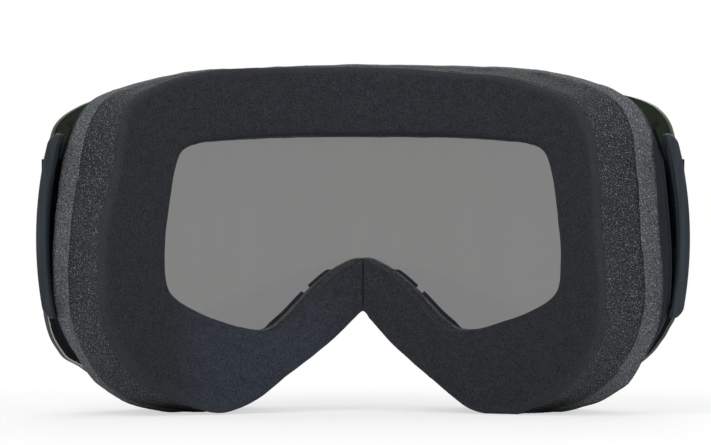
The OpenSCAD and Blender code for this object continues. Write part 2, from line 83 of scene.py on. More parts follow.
camera_data = bpy.data.cameras.new("camera")
camera = new_object("camera", camera_data)
scene.camera = camera
camera_data.sensor_width = SENSOR
camera_data.lens = FOCAL_PIXELS / PHOTO_WIDTH * SENSOR
camera_data.shift_x = (PHOTO_MIDDLE[0] - PIVOT_PIXEL[0]) / PHOTO_WIDTH
camera_data.shift_y = (PIVOT_PIXEL[1] - PHOTO_MIDDLE[1]) / PHOTO_WIDTH
camera.rotation_euler = (pi / 2, 0, 0)
camera.location = PIVOT - Vector((0, CAMERA_DISTANCE, 0))
print("camera at", [round(v, 3) for v in camera.location], "lens", round(camera_data.lens, 1), "mm")

# %% [markdown]
# ## The outlines that everything follows
# The foam and its plate lie on upright cylinders about the head's axis, and the lens lies on a
# flatter one of its own. A layer is drawn flat, as length along the cylinder and height, and then
# wrapped. The half outlines below are those of the part's source, in millimetres, from the top
# middle round to the nose. A smooth curve runs through their points, and places along it are
# counted in points, so that place 17 is the middle of the nose on every outline.

# %% Outlines
MM = 0.001
HEAD_Y = -93.882
LENS_Y = -87.882
PLATE_R = 108
LENS_R = 125

FOAM_OUTLINE = [
    (0, 102.2), (30.4, 101.7), (53.5, 100.3), (74, 96), (88.6, 90), (96.2, 77),
    (99.4, 60), (100.8, 42), (98.2, 26), (88.3, 12.3), (74.9, 4.5), (60.2, 0.5),
    (48.1, 0.2), (36.7, 4.1), (24.2, 12.2), (12, 20.1), (2.6, 28), (0, 29.7),
]
PORT_OUTLINE = [
    (0, 81.4), (24.2, 81.1), (45, 79.9), (58.5, 78.5), (65.6, 75.9), (68.7, 69.5),
    (71.2, 57), (72.3, 43.5), (70.3, 35.5), (60, 29.9), (48, 26.3), (38.3, 24.3),
    (30, 24), (24.6, 27.5), (17.4, 34.8), (10.2, 41), (3.6, 44.5), (0, 45.1),
]
LENS_OUTLINE = [
    (0, 97.5), (31.3, 97.2), (57, 96), (75.5, 93.9), (91.5, 89.9), (101.9, 82.6),
    (103.6, 66), (103.9, 46), (104, 28), (94.8, 14.2), (75.5, 4.2), (61.5, 0.6),
    (49.7, 0.1), (38.6, 3.6), (27.2, 11.2), (15, 21.3), (4.5, 30), (0, 32),
]
NOSE_MIDDLE = len(FOAM_OUTLINE) - 1
PLACES = 2 * NOSE_MIDDLE
# How far apart, in places, two points are taken to find which way an outline runs
NUDGE = 0.02


def whole_loop(half):
    left = [(-x, z) for x, z in half[-2:0:-1]]
    return [Vector(p) for p in half + left]


def heading(loop, i):
    before, here, after = loop[i - 1], loop[i % PLACES], loop[(i + 1) % PLACES]
    return (after - before) / ((after - here).length + (here - before).length)


def loop_point(loop, place):
    """The point at a place on a closed curve that runs smoothly through the loop's points."""
    i = int(place % PLACES)
    t = place % PLACES - i
    a, b = loop[i], loop[(i + 1) % PLACES]
    reach = (b - a).length
    ends = a * (2 * t**3 - 3 * t**2 + 1) + b * (3 * t**2 - 2 * t**3)
    swing = heading(loop, i) * (t**3 - 2 * t**2 + t) + heading(loop, i + 1) * (t**3 - t**2)
    return ends + swing * reach


def outline_at(half, place, inset=0.0):
    """A flat point of an outline, moved inwards by inset and kept above the ground."""
    loop = whole_loop(half)
    here = loop_point(loop, place)
    way = (loop_point(loop, place + NUDGE) - loop_point(loop, place - NUDGE)).normalized()
    return Vector((here.x + inset * way.y, max(0.0, here.y - inset * way.x)))


def wrapped(flat, reference, radius, axis_y):
    angle = flat[0] / reference
    return Vector((radius * sin(angle), axis_y + radius * cos(angle), flat[1]))


def on_head(flat, radius):
    return wrapped(flat, PLATE_R, radius, HEAD_Y)


def on_lens(flat, radius):
    return wrapped(flat, LENS_R, radius, LENS_Y)


nose_top = on_head(outline_at(FOAM_OUTLINE, NOSE_MIDDLE), PLATE_R)
print("nose apex on the plate:", [round(v, 1) for v in nose_top])

# %% [markdown]
# ## A ring made of closed loops
# Every layer here is a ring with a section that changes on its way round. It is built from closed
# loops of edges that lie along it, side by side, with each pair of neighbours bridged. The last
# loop meets the first again, so the ring closes without a seam. A finer list of places gives a
# smoother ring, and extra places near the nose let the seam there be narrow.

# %% Ring helpers
def places_along(steps, extra=()):
    even = [i / steps for i in range(PLACES * steps)]
    return sorted(set(even) | set(extra))


def add_loop(bm, points):
    verts = [bm.verts.new(p * MM) for p in points]
    return [bm.edges.new(pair) for pair in zip(verts, verts[1:] + verts[:1])]


def face_outwards(bm):
    bmesh.ops.recalc_face_normals(bm, faces=bm.faces[:])


def bridged(rows, closed):
    """Loops of points, each bridged to the next. The last meets the first, or both get a cap."""
    bm = bmesh.new()
    loops = [add_loop(bm, points) for points in rows]
    for near, far in zip(loops, loops[1:] + loops[:closed]):
        bmesh.ops.bridge_loops(bm, edges=near + far)
    if not closed:
        bmesh.ops.holes_fill(bm, edges=loops[0] + loops[-1])
    face_outwards(bm)
    return bm


def ring_mesh(section, places):
    """A closed ring. section gives a list of points for a place, always of the same length."""
    return bridged(zip(*[section(place) for place in places]), closed=True)


def mark_loops(bm, name, marks):
    """Stores a number on each vertex, one for each loop of a ring, for its material to read."""
    layer = bm.verts.layers.float.new(name)
    bm.verts.ensure_lookup_table()
    length = len(bm.verts) // len(marks)
    for i, v in enumerate(bm.verts):
        v[layer] = marks[i // length]


def roughen(bm, *layers):
    """Moves each vertex along its normal by layers of smooth noise, each a grain and a depth."""
    for grain, depth in layers:
        bm.normal_update()
        for v in bm.verts:
            v.co += v.normal * depth * noise.noise(v.co / grain)


def finished(name, bm, body):
    """Makes the object of a bmesh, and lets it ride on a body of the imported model."""
    for face in bm.faces:
        face.smooth = True
    piece = object_of(name, bm)
    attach(piece, body)
    print(name, "has", len(piece.data.polygons), "faces")
    return piece


def smooth_step(low, high, value):
    t = min(1.0, max(0.0, (value - low) / (high - low)))
    return t * t * (3 - 2 * t)


def within(rise, fall, value):
    """1 between a rise and a fall, which are pairs of values, and smoothly down to 0 outside."""
    return smooth_step(*rise, value) * smooth_step(*fall, value)


def arch(t):
    """0 at both ends of a stretch from 0 to 1, and 1 in its middle."""
    return 4 * t * (1 - t)


def evenly(count, first, last):
    return [first + (last - first) * i / (count - 1) for i in range(count)]


def between_rows(rows, place, column):
    """A column's value at a place, smoothly blended between the rows on either side of it."""
    i = max(k for k in range(len(rows) - 1) if rows[k][0] <= place)
    low, high = rows[i], rows[i + 1]
    return low[column] + (high[column] - low[column]) * smooth_step(low[0], high[0], place)


def from_nose(place):
    """Distance from the middle of the nose, in places, on either side."""
    return abs(place % PLACES - NOSE_MIDDLE)


def side_of(place):
    """Whether a place is on the wearer's right, and how it is counted from the top on its side."""
    place = place % PLACES
    right = place <= NOSE_MIDDLE
    return right, place if right else PLACES - place


print("half way up a smooth step:", smooth_step(0, 1, 0.5), "and an arch:", arch(0.5))

# %% [markdown]
# ## The three foam layers
# A dense grey base foam is glued to the plate, a thick coarse foam lies on it, and a thin fleece
# meets the face. Their outer walls lean in towards the face, which is why all three show from
# behind. In the photo the soft stack is pushed a little to the wearer's left: it leans in by a
# centimetre on the right temple and hardly at all on the left one. A short list of leans along the
# outline follows that, smoothly blended, for the plate's end and for the face's end of the walls.

# %% How the pads lean
FACE_R = 90.5
FLEECE_T = 2.0
MIDDLE_T = 11.0
GLUE = 0.05
FLEECE_BACK = FACE_R + FLEECE_T
MIDDLE_BACK = FLEECE_BACK + MIDDLE_T
# How far the coarse foam's wall swells out at the lower left, over the base foam
BELLY = 2.4
BELLY_SPAN = ((7.4, 8.8), (11, 9.6))
TEMPLE_SPAN = ((3.4, 5.2), (10.2, 8.8))
# The walls curve in towards the face by this power, which drops by the second number at a temple
LEAN_POWER, TEMPLE_DROP = 1.6, 0.85
# Place, then the lean at the plate and at the face on the right side, and the same on the left side
LEANS = [
    (0, -0.3, 0.9, -0.3, 0.9), (1.5, -0.1, 2.3, 0.5, 0.7), (3, 0.3, 3.8, 0.9, 0.6),
    (4, 1.4, 7.6, 0.7, 1.2), (4.6, 1.0, 8.6, 0.3, 1.9), (5.2, 2, 9.8, -0.2, 3.6),
    (6.5, 2.6, 11, -0.6, -0.6), (7.5, 1.2, 8.8, -0.6, -1.5), (8.7, 1.6, 5.6, 1.5, 0.5),
    (9.3, 1.2, 4.6, 1.0, 0.9), (10.3, 0.5, 2.5, 0.3, 2.2), (12, -1.1, -0.9, 0, 0.2),
    (13, -2.2, -2.2, 0, 0), (14, -2.2, -2.2, 0, 0), (15, -1.2, -1.2, 0, 0), (NOSE_MIDDLE, 0, 0, 0, 0),
]


def lean_at(place, radius):
    """How far a pad's outer wall leans in at a place and a radius, along the outline's cylinder."""
    right, side = side_of(place)
    column = 1 if right else 3
    at_plate = between_rows(LEANS, side, column)
    at_face = between_rows(LEANS, side, column + 1)
    share = max(0.0, (PLATE_R - radius) / (PLATE_R - FLEECE_BACK))
    power = LEAN_POWER - TEMPLE_DROP * within(*TEMPLE_SPAN, side)
    belly = 0 if right else BELLY * within(*BELLY_SPAN, side)
    return at_plate + (at_face - at_plate) * share**power - belly * arch(share)


print("lean at the right temple:", round(lean_at(6.5, FLEECE_BACK), 1), "mm")

# %% [markdown]
# The section of each layer is a list of points between its leaning outer wall and the port. At the
# nose the fleece stops a little short of the port, so the coarse foam shows beside it, and the two
# halves of the pads meet in a seam over the nose. The two thick layers share one kind of section.

# %% Foam sections
NOSE_SLOPE = 0.8
NOSE_SPAN = ((0.0, 1.2), (4.6, 3.4))
INNER_SIDES = (0.33, 0.66)


def nose_slope(place):
    """How far the fleece stops short of the port: widest on the nose's flanks."""
    return NOSE_SLOPE * within(*NOSE_SPAN, from_nose(place))


def pad_point(place, side, inset, radius, slope=0.0):
    """A point of a pad's section: near the outer wall for side 0 and near the port for side 1."""
    lean = lean_at(place, radius)
    outer = outline_at(FOAM_OUTLINE, place, lean + (inset if side < 0.5 else 0))
    inner = outline_at(PORT_OUTLINE, place, -slope - (inset if side > 0.5 else 0))
    return on_head(outer * (1 - side) + inner * side, radius)


def seam_dip(place, width, depth):
    """Depth of the seam over the nose at a place, sharp at its middle."""
    return depth * max(0.0, 1 - from_nose(place) / width)


def slab_section(place, near, far, steps, draw, dip, foot=0.0, slope=0.0):
    """A thick layer from one radius to another. Its side walls draw in, most at half height."""
    outer, inner = [], []
    for t in evenly(steps, 0, 1):
        inset = draw * arch(t) + dip
        radius = near + (far - near) * t
        outer.append(pad_point(place, 0, inset - foot * t**2, radius))
        inner.append(pad_point(place, 1, inset, radius, slope * (1 - t)))
    front = [pad_point(place, side, 0, far) for side in INNER_SIDES]
    rear = [pad_point(place, side, 0, near, slope) for side in INNER_SIDES[::-1]]
    return outer + front + inner[::-1] + rear


SEAM_PLACES = [NOSE_MIDDLE + s * w for s in (-1, 1) for w in (0.03, 0.07, 0.12, 0.2)]
PAD_PLACES = places_along(14, SEAM_PLACES)


print("places round a pad:", len(PAD_PLACES))

# %% [markdown]
# The fleece is thin, with a soft rounded edge on both sides and a gentle crown. Its face bends
# a little between the glue spots, which long slow noise gives. A mark on each vertex says how near
# it is to the outer edge, so that its material can fade into the foam there.

# %% Fleece
FLEECE_SIDES = [0, 0.02, 0.05, 0.1] + evenly(14, 0.16, 0.84) + [0.9, 0.95, 0.98, 1]
FLEECE_BACK_SIDES = [1.0, 0.66, 0.33, 0.0]
FLEECE_EDGE = 0.06
EDGE_DROP = 1.0
EDGE_FADE = 0.12
FACE_SETBACK = 0.1
CROWN = 0.42
FLEECE_SEAM = (0.13, 0.9)


def edge_drop(side):
    """How far the fleece's face falls back towards its two edges."""
    near = min(side, 1 - side) / FLEECE_EDGE
    return EDGE_DROP * max(0.0, 1 - near) ** 2


def fleece_section(place):
    slope = nose_slope(place)
    flat = FACE_R + FACE_SETBACK + seam_dip(place, *FLEECE_SEAM)
    face = []
    for side in FLEECE_SIDES:
        radius = flat - CROWN * arch(side) + edge_drop(side)
        face.append(pad_point(place, side, 0, radius, slope))
    back = [pad_point(place, side, 0, FLEECE_BACK - GLUE, slope) for side in FLEECE_BACK_SIDES]
    return face + back


fleece_bm = ring_mesh(fleece_section, PAD_PLACES)
edge_marks = [smooth_step(EDGE_FADE, 0.0, side) for side in FLEECE_SIDES + FLEECE_BACK_SIDES]
mark_loops(fleece_bm, "edge", edge_marks)
roughen(fleece_bm, (0.012, 0.00022), (0.0035, 0.00008))
fleece = finished("fleece_pad", fleece_bm, "goggle_frame")
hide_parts("face_fleece")

# %% [markdown]
# The coarse foam is the thick one. Its sides draw in a little at half height, as foam does when
# it is pressed between two stiffer layers, and its skin is torn rather than smooth, so it gets
# fine noise too.

# %% Coarse foam
COARSE_DRAW = 0.5
COARSE_SEAM = (0.1, 0.6)


def coarse_section(place):
    dip = seam_dip(place, *COARSE_SEAM)
    slope = nose_slope(place)
    return slab_section(place, FLEECE_BACK, MIDDLE_BACK - GLUE, 13, COARSE_DRAW, dip, slope=slope)


coarse_bm = ring_mesh(coarse_section, PAD_PLACES)
roughen(coarse_bm, (0.006, 0.0003), (0.0015, 0.00016))
coarse = finished("coarse_foam_pad", coarse_bm, "goggle_frame")
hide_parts("foam_middle")

# %% [markdown]
# The base foam is denser and lighter in colour, and its walls swell a little instead. It spreads
# at its foot, where it is glued down, and so hides the plate's edge from behind, except at the
# right temple, where the photo shows it.

# %% Base foam
BASE_DRAW = -0.25
BASE_SEAM = (0.1, 0.4)
FOOT, FOOT_SIDE = 0.35, 1.5
FOOT_SPAN = ((4.2, 6.0), (12.0, 9.0))
BARE_SPAN = ((4.6, 5.4), (9.4, 8.4))


def foot_at(place):
    """How far the base foam's foot spreads over the plate's edge."""
    side = side_of(place)[1]
    return FOOT + FOOT_SIDE * within(*FOOT_SPAN, side) * (1 - within(*BARE_SPAN, place))


def base_section(place):
    dip = seam_dip(place, *BASE_SEAM)
    foot = foot_at(place)
    return slab_section(place, MIDDLE_BACK, PLATE_R - GLUE, 7, BASE_DRAW, dip, foot=foot)


base_bm = ring_mesh(base_section, PAD_PLACES)
roughen(base_bm, (0.005, 0.0002), (0.0014, 0.0001))
base = finished("base_foam_pad", base_bm, "goggle_frame")
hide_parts("foam_base")

# %% [markdown]
# ## The face plate
# The plate behind the foam is a stiff rim. Over the nose it stands out into the eye port as two
# thin rims, each with a square notch where the frame clips in. The ring is built like the
# foam, and the notches are cut with small blocks by a Boolean modifier, which is then applied.

# %% Face plate
PLATE_T = 1.6
PLATE_LIP = 0.3
OUTER_ROUND, INNER_ROUND = 0.4, 0.2
REAR_ROUND, FRONT_ROUND = 0.3, 0.35
PLATE_W = 1.5
RIM_INSET = 0.02
NOSE_RIM = 0.9
NOSE_RIM_SPAN = ((11.95, 12.6), (15.2, 14.95))
STRAIGHT_SPAN = ((4.5, 5.3), (8.4, 7.6))
NOTCH_PLACE, NOTCH_STEP = 14.1, 0.1
NOTCH_SIZE = (2.6, 6.4, 1.8)


def plate_tuck(place):
    """How far the plate's edge follows the foam in at the corners, but not at the temples."""
    temple = within(*STRAIGHT_SPAN, side_of(place)[1])
    return max(0.0, lean_at(place, PLATE_R) + PLATE_LIP) * (1 - temple)


def plate_section(place):
    rim = RIM_INSET + NOSE_RIM * within(*NOSE_RIM_SPAN, NOSE_MIDDLE - from_nose(place))
    front = PLATE_R + PLATE_T
    edge = plate_tuck(place) - PLATE_LIP
    outer = [
        (edge + OUTER_ROUND, PLATE_R), (edge, PLATE_R + REAR_ROUND),
        (edge, front - FRONT_ROUND), (edge + OUTER_ROUND, front),
    ]
    inner = [
        (-PLATE_W, front), (rim - INNER_ROUND, front), (rim, front - INNER_ROUND),
        (rim, PLATE_R + INNER_ROUND), (rim - INNER_ROUND, PLATE_R), (-PLATE_W, PLATE_R),
    ]
    sides = [(FOAM_OUTLINE, *point) for point in outer] + [(PORT_OUTLINE, *point) for point in inner]
    return [on_head(outline_at(half, place, inset), radius) for half, inset, radius in sides]


def add_block(bm, size, matrix):
    """A box in a bmesh, sized and placed in millimetres."""
    verts = bmesh.ops.create_cube(bm, size=1)["verts"]
    bmesh.ops.scale(bm, vec=size, verts=verts)
    bmesh.ops.transform(bm, matrix=matrix, verts=verts)
    bmesh.ops.scale(bm, vec=(MM, MM, MM), verts=verts)


def cut_blocks(piece, blocks):
    """Cuts blocks, each a size and a matrix, out of a piece, and their mirror images too."""
    bm = bmesh.new()
    for flip in (Matrix.Identity(4), Matrix.Scale(-1, 4, (1, 0, 0))):
        for size, matrix in blocks:
            add_block(bm, size, flip @ matrix)
    face_outwards(bm)
    cutter = object_of("cutter", bm)
    cut = piece.modifiers.new("cut", "BOOLEAN")
    cut.operation = "DIFFERENCE"
    cut.solver = "EXACT"
    cut.object = cutter
    with bpy.context.temp_override(object=piece, active_object=piece):
        bpy.ops.object.modifier_apply(modifier=cut.name)
    bpy.data.objects.remove(cutter)


def rim_frame(place):
    """Position and turn of a notch, across the nose rim's edge."""
    edge = outline_at(PORT_OUTLINE, place, NOSE_RIM)
    along = outline_at(PORT_OUTLINE, place + NOTCH_STEP, NOSE_RIM) - edge
    bend = Matrix.Rotation(-edge.x / PLATE_R, 4, "Z")
    turn = bend @ Matrix.Rotation(-atan2(along.y, along.x), 4, "Y")
    return Matrix.Translation(on_head(edge, PLATE_R + PLATE_T / 2)) @ turn


plate_bm = ring_mesh(plate_section, places_along(16))
plate = finished("face_plate_rim", plate_bm, "goggle_frame")
cut_blocks(plate, [(NOTCH_SIZE, rim_frame(NOTCH_PLACE))])
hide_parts("face_plate")

# %% [markdown]
# ## The frame's wall
# The frame is one moulding: a wall that runs from the plate's edge forward to the lens, and a
# seat behind the lens, with a low lip round it. The wall is a smooth blend between the foam's
# outline on the head's cylinder and the lens's outline on its own, with a slight bulge between
# them. Vents are cut through it above the brow and below the cheeks.

# %% Frame shell
WALL_T = 2.2
WALL_SETBACK = 2.6
WALL_BULGE = 0.5
# Shares of the way from the plate to the lens at which the wall's two faces have points
OUTSIDE_SHARES = (0.012, 0.04, 0.15, 0.3, 0.45, 0.6, 0.75, 0.88, 0.97)
INSIDE_SHARES = (0.86, 0.75, 0.6, 0.45, 0.3, 0.15, 0.04)
FOOT_INSETS = (WALL_T - 0.25, 0.25)
SEAT_R = 121.95
SEAT_BACK = SEAT_R - 2.2
SEAT_GAP = 0.05
LIP_R = 123.35
# The lip and the seat, as insets from the wall's edge and radii about the lens's axis
LIP_AND_SEAT = [
    (-0.15, SEAT_R + 0.2), (-0.6, LIP_R - 0.35), (-0.45, LIP_R), (0.15, LIP_R), (0.35, SEAT_R),
    (3.5, SEAT_R), (6.2, SEAT_R), (6.8, SEAT_R), (7.0, SEAT_R - 0.4), (7.0, SEAT_BACK + 0.4),
    (6.7, SEAT_BACK), (4.5, SEAT_BACK),
]
# The lens overhangs the wall, and more so below a height, over so many millimetres
OVERHANG, OVERHANG_LOW = 0.9, 2.4
LOW_BELOW, LOW_OVER = 45, 20
# Place, then how far the lens and the wall draw in there on the right and on the left side
TRIMS = [
    (0, 0, 0), (2.8, 0, 0), (3.5, -1.3, -0.4), (4.2, -1.7, -0.4), (5.2, 0, -0.4), (6.2, 0, 0),
    (7.4, 0, -0.6), (8, 1, -1.4), (8.35, 2, -1.6), (8.7, 2.5, -1.2), (9.2, 2.8, 0.8),
    (9.6, 2.8, 0.6), (11, 0, 0), (NOSE_MIDDLE, 0, 0),
]
BROW_VENTS, BROW_VENT_SIZE = (0.5, 1.15, 1.85), (13, 9, 12)
CHEEK_VENTS, CHEEK_VENT_SIZE = (10.35, 11.45), (9, 9, 12)
VENT_SHARE = 0.44


def corner_trim(place):
    """How far the lens and the wall draw in at a place. Below zero they stand out."""
    right, side = side_of(place)
    return between_rows(TRIMS, side, 1 if right else 2)


def wall_edge(place):
    """How far inside the lens's outline the wall ends."""
    low = (LOW_BELOW - outline_at(LENS_OUTLINE, place).y) / LOW_OVER
    overhang = OVERHANG + (OVERHANG_LOW - OVERHANG) * min(1.0, max(0.0, low))
    return overhang + corner_trim(place)


def set_in(half, place, inset, reference, radius, axis_y):
    """An outline on a cylinder, set in as seen along Y, which keeps a wall along Y even."""
    flat = [outline_at(half, p) for p in (place - NUDGE, place, place + NUDGE)]
    before, here, after = [wrapped(point, reference, radius, axis_y) for point in flat]
    way = after - before
    run = sqrt(way.x**2 + way.z**2)
    x = here.x + inset * way.z / run
    return Vector((x, axis_y + sqrt(radius**2 - x**2), max(0.0, here.z - inset * way.x / run)))


def wall_point(place, share, inset):
    """A point of the wall, a share of the way from the plate to the lens."""
    inset -= WALL_BULGE * arch(share)
    plate_front = PLATE_R + PLATE_T + SEAT_GAP
    back = set_in(FOAM_OUTLINE, place, WALL_SETBACK + inset, PLATE_R, plate_front, HEAD_Y)
    front = set_in(LENS_OUTLINE, place, wall_edge(place) + inset, LENS_R, SEAT_R, LENS_Y)
    return back * (1 - share) + front * share


def seat_point(place, inset, radius):
    return on_lens(outline_at(LENS_OUTLINE, place, wall_edge(place) + inset), radius)


def frame_section(place):
    outer = [wall_point(place, share, 0) for share in OUTSIDE_SHARES]
    seat = [seat_point(place, inset, radius) for inset, radius in LIP_AND_SEAT]
    inner = [wall_point(place, share, WALL_T) for share in INSIDE_SHARES]
    return outer + seat + inner + [wall_point(place, 0, inset) for inset in FOOT_INSETS]


def vent_frame(place):
    here = wall_point(place, VENT_SHARE, WALL_T / 2)
    return Matrix.Translation(here) @ Matrix.Rotation(-atan2(here.x, here.y - HEAD_Y), 4, "Z")


shell_bm = ring_mesh(frame_section, places_along(8))
shell = finished("frame_shell", shell_bm, "goggle_frame")
vents = [(BROW_VENT_SIZE, vent_frame(place)) for place in BROW_VENTS]
vents += [(CHEEK_VENT_SIZE, vent_frame(place)) for place in CHEEK_VENTS]
cut_blocks(shell, vents)
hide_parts("frame")

# %% [markdown]
# The gasket is a plain flat ring on the seat, just inside the lip.

# %% Gasket
GASKET_BACK, GASKET_FRONT = 122.05, 123.3
GASKET_SIDES = (0.5, 6.5)


def gasket_section(place):
    back = [seat_point(place, d, GASKET_BACK) for d in GASKET_SIDES]
    front = [seat_point(place, d, GASKET_FRONT) for d in GASKET_SIDES[::-1]]
    return back + front


gasket_bm = ring_mesh(gasket_section, places_along(8))
gasket = finished("gasket_ring", gasket_bm, "goggle_frame")
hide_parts("lens_gasket")

# %% [markdown]
# ## The filter foams behind the vents
# A thin sheet of open foam is stuck inside the wall behind each row of vents and keeps the dust
# out. Each follows the wall, so it is an open stretch of the same ring, capped at its two ends.

# %% Filter foams
FILTER_NEAR, FILTER_FAR = WALL_T + 0.3, WALL_T + 2.2
FILTER_SHARES = evenly(12, 0.14, 0.7)


def filter_section(place):
    upper = [wall_point(place, share, FILTER_NEAR) for share in FILTER_SHARES]
    return upper + [wall_point(place, share, FILTER_FAR) for share in FILTER_SHARES[::-1]]


# Each sheet's first place, its last place and its number of sections
FILTERS = {
    "top_vent_foam": (-7 / 3, 7 / 3, 60),
    "bottom_vent_foam_right": (29 / 3, 37 / 3, 30),
    "bottom_vent_foam_left": (PLACES - 37 / 3, PLACES - 29 / 3, 30),
}
filters = []
for node, (first, last, count) in FILTERS.items():
    bm = bridged([filter_section(place) for place in evenly(count, first, last)], closed=False)
    roughen(bm, (0.0012, 0.0001))
    pad = finished(node + "_pad", bm, "goggle_frame")
    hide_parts(node)
    filters.append(pad)

# %% [markdown]
# ## The lens
# The real lens is cut from a flat sheet and bent round a cylinder, and it is made the same way
# here. One flat face gets the lens's outline, and narrow insets along its edge make a dark border
# with a thin line in it. A row of upright cuts adds the edges along which it can bend, an
# extrusion gives it its thickness, and each vertex is then wrapped round the lens's axis.

# %% Lens
LENS_T = 1.5
LENS_CUT = 2.0
LINE_INSET = 1.0
LINE_W = 0.5
BORDER_W = 1.6
SHARP_ANGLE = 1
COAT_FACES, SMOKE_FACES, BORDER_FACES, LINE_FACES = 0, 1, 2, 3


def border(bm, width, material):
    """Insets the largest face of the flat lens, and gives the new border a material."""
    whole = max(bm.faces, key=lambda face: face.calc_area())
    inset = bmesh.ops.inset_individual(bm, faces=[whole], thickness=width * MM, use_even_offset=True)
    for face in inset["faces"]:
        face.material_index = material


def flat_lens(bm):
    flat = [outline_at(LENS_OUTLINE, p, corner_trim(p)) * MM for p in places_along(16)]
    bm.faces.new([bm.verts.new((p.x, 0, p.y)) for p in flat]).material_index = SMOKE_FACES
    border(bm, LINE_INSET, BORDER_FACES)
    border(bm, LINE_W, LINE_FACES)
    border(bm, BORDER_W, BORDER_FACES)
    reach = max(p.x for p in flat)
    cut = -reach + LENS_CUT * MM
    while cut < reach - LENS_CUT * MM / 2:
        everything = bm.verts[:] + bm.edges[:] + bm.faces[:]
        bmesh.ops.bisect_plane(bm, geom=everything, plane_co=(cut, 0, 0), plane_no=(1, 0, 0))
        cut += LENS_CUT * MM


def thicken(bm):
    """Extrudes the flat lens to the front. The new side gets the coat, and the rim the border."""
    made = bmesh.ops.extrude_face_region(bm, geom=bm.faces[:])["geom"]
    front = {item for item in made if isinstance(item, bmesh.types.BMVert)}
    bmesh.ops.translate(bm, vec=(0, LENS_T * MM, 0), verts=list(front))
    for face in bm.faces:
        ahead = sum(v in front for v in face.verts)
        if ahead == len(face.verts):
            face.material_index = COAT_FACES
        elif ahead:
            face.material_index = BORDER_FACES


lens_bm = bmesh.new()
flat_lens(lens_bm)
thicken(lens_bm)
for v in lens_bm.verts:
    v.co = on_lens((v.co.x / MM, v.co.z / MM), LENS_R - LENS_T + v.co.y / MM) * MM
face_outwards(lens_bm)
for edge in lens_bm.edges:
    edge.smooth = edge.calc_face_angle() < SHARP_ANGLE
lens = finished("lens_sheet", lens_bm, "lens_unit")
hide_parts("lens")

# %% [markdown]
# ## The outriggers
# Each outrigger is a flat moulded loop that the strap goes round, and it swings on an upright pin.
# It starts as a flat grid of three columns: the bar, the slot and the web. The slot's faces are
# deleted, the rest is extruded to its thickness, and bevels round the corners and then the edges.
# Only then are its points moved outwards, so that both faces bow along the goggles' side.

# %% Outriggers
WING_COLUMNS = (-35.8, -31.0, -25.0, -22.0)
WING_LOW, WING_HIGH = 28.3, 80.7
SLOT_LOW, SLOT_HIGH = 31.6, 77.2
WING_ROWS = 22
# Each bowed face's furthest reach, its radius and the height of its middle
WING_OUTER = (92.58, 114, 51.0)
WING_INNER = (89.58, 111, 51.0)
WING_T = 3
CORNER_R, SLOT_CORNER_R, EDGE_R = 2.6, 1.4, 0.8
END_TAPER, END_THINNING = 3.2, 0.45
PIN_X, PIN_Y = 90.3814, -19.2045
KNUCKLE_R, KNUCKLE_H, KNUCKLE_Z = 2.1, 9, (44.0, 65.0)
KNUCKLE_ROUND = 0.4
ARM_W, ARM_L, ARM_H = KNUCKLE_R * 1.2, 4.0, KNUCKLE_H - 0.6
# Two values on the flat wing that differ by less than this are the same
CLOSE = 0.01


def row_height(row):
    """Height of a row of the flat wing: its two ends, and even rows along the slot."""
    if row == 0:
        return WING_LOW
    if row == WING_ROWS:
        return WING_HIGH
    return SLOT_LOW + (SLOT_HIGH - SLOT_LOW) * (row - 1) / (WING_ROWS - 2)


def flat_wing(bm):
    across = len(WING_COLUMNS) - 1
    bmesh.ops.create_grid(bm, x_segments=across, y_segments=WING_ROWS, size=1)
    for v in bm.verts:
        column = round((v.co.x + 1) * across / 2)
        row = round((v.co.y + 1) * WING_ROWS / 2)
        v.co = (0, WING_COLUMNS[column], row_height(row))
    slot = [
        face for face in bm.faces
        if WING_COLUMNS[1] < face.calc_center_median().y < WING_COLUMNS[2]
        and SLOT_LOW < face.calc_center_median().z < SLOT_HIGH
    ]
    bmesh.ops.delete(bm, geom=slot, context="FACES")
    thick = bmesh.ops.extrude_face_region(bm, geom=bm.faces[:])
    moved = [item for item in thick["geom"] if isinstance(item, bmesh.types.BMVert)]
    bmesh.ops.translate(bm, vec=(1, 0, 0), verts=moved)
    face_outwards(bm)


def near(value, options):
    return any(abs(value - option) < CLOSE for option in options)


def corner_edges(bm, heights, columns):
    """Edges through the thickness at the corners of the loop or of its slot."""
    return [
        e for e in bm.edges
        if not near(e.verts[0].co.x, [e.verts[1].co.x])
        and near(e.verts[0].co.z, heights) and near(e.verts[0].co.y, columns)
    ]


def rounded_edges(bm, edges, radius, segments):
    bmesh.ops.bevel(
        bm, geom=edges, offset=radius, offset_type="OFFSET", segments=segments, profile=0.5,
        affect="EDGES", material=-1,
    )


def bowed(co):
    """Moves a point of the flat wing to its bowed place. Its x is 0 inside and 1 outside."""
    faces = []
    for reach, radius, middle in (WING_INNER, WING_OUTER):
        faces.append(reach - radius + sqrt(radius**2 - (co.z - middle) ** 2))
    end = max(0.0, END_TAPER + max(WING_LOW - co.z, co.z - WING_HIGH)) / END_TAPER
    share = co.x * (1 - END_THINNING * end**2)
    return Vector((faces[0] + (faces[1] - faces[0]) * share, co.y, co.z))


def knuckle(bm, z):
    """The tube round the hinge pin, and the arm that joins it to the web."""
    tube = bmesh.ops.create_cone(
        bm, cap_ends=True, segments=40, radius1=KNUCKLE_R, radius2=KNUCKLE_R, depth=KNUCKLE_H
    )["verts"]
    edges = dict.fromkeys(e for v in tube for e in v.link_edges)
    rim = [e for e in edges if near(e.verts[0].co.z, [e.verts[1].co.z])]
    bmesh.ops.translate(bm, vec=(PIN_X, PIN_Y, z), verts=tube)
    rounded_edges(bm, rim, KNUCKLE_ROUND, 2)
    arm = bmesh.ops.create_cube(bm, size=1)["verts"]
    bmesh.ops.scale(bm, vec=(ARM_W, ARM_L, ARM_H), verts=arm)
    bmesh.ops.translate(bm, vec=(PIN_X, PIN_Y - ARM_L / 2, z), verts=arm)


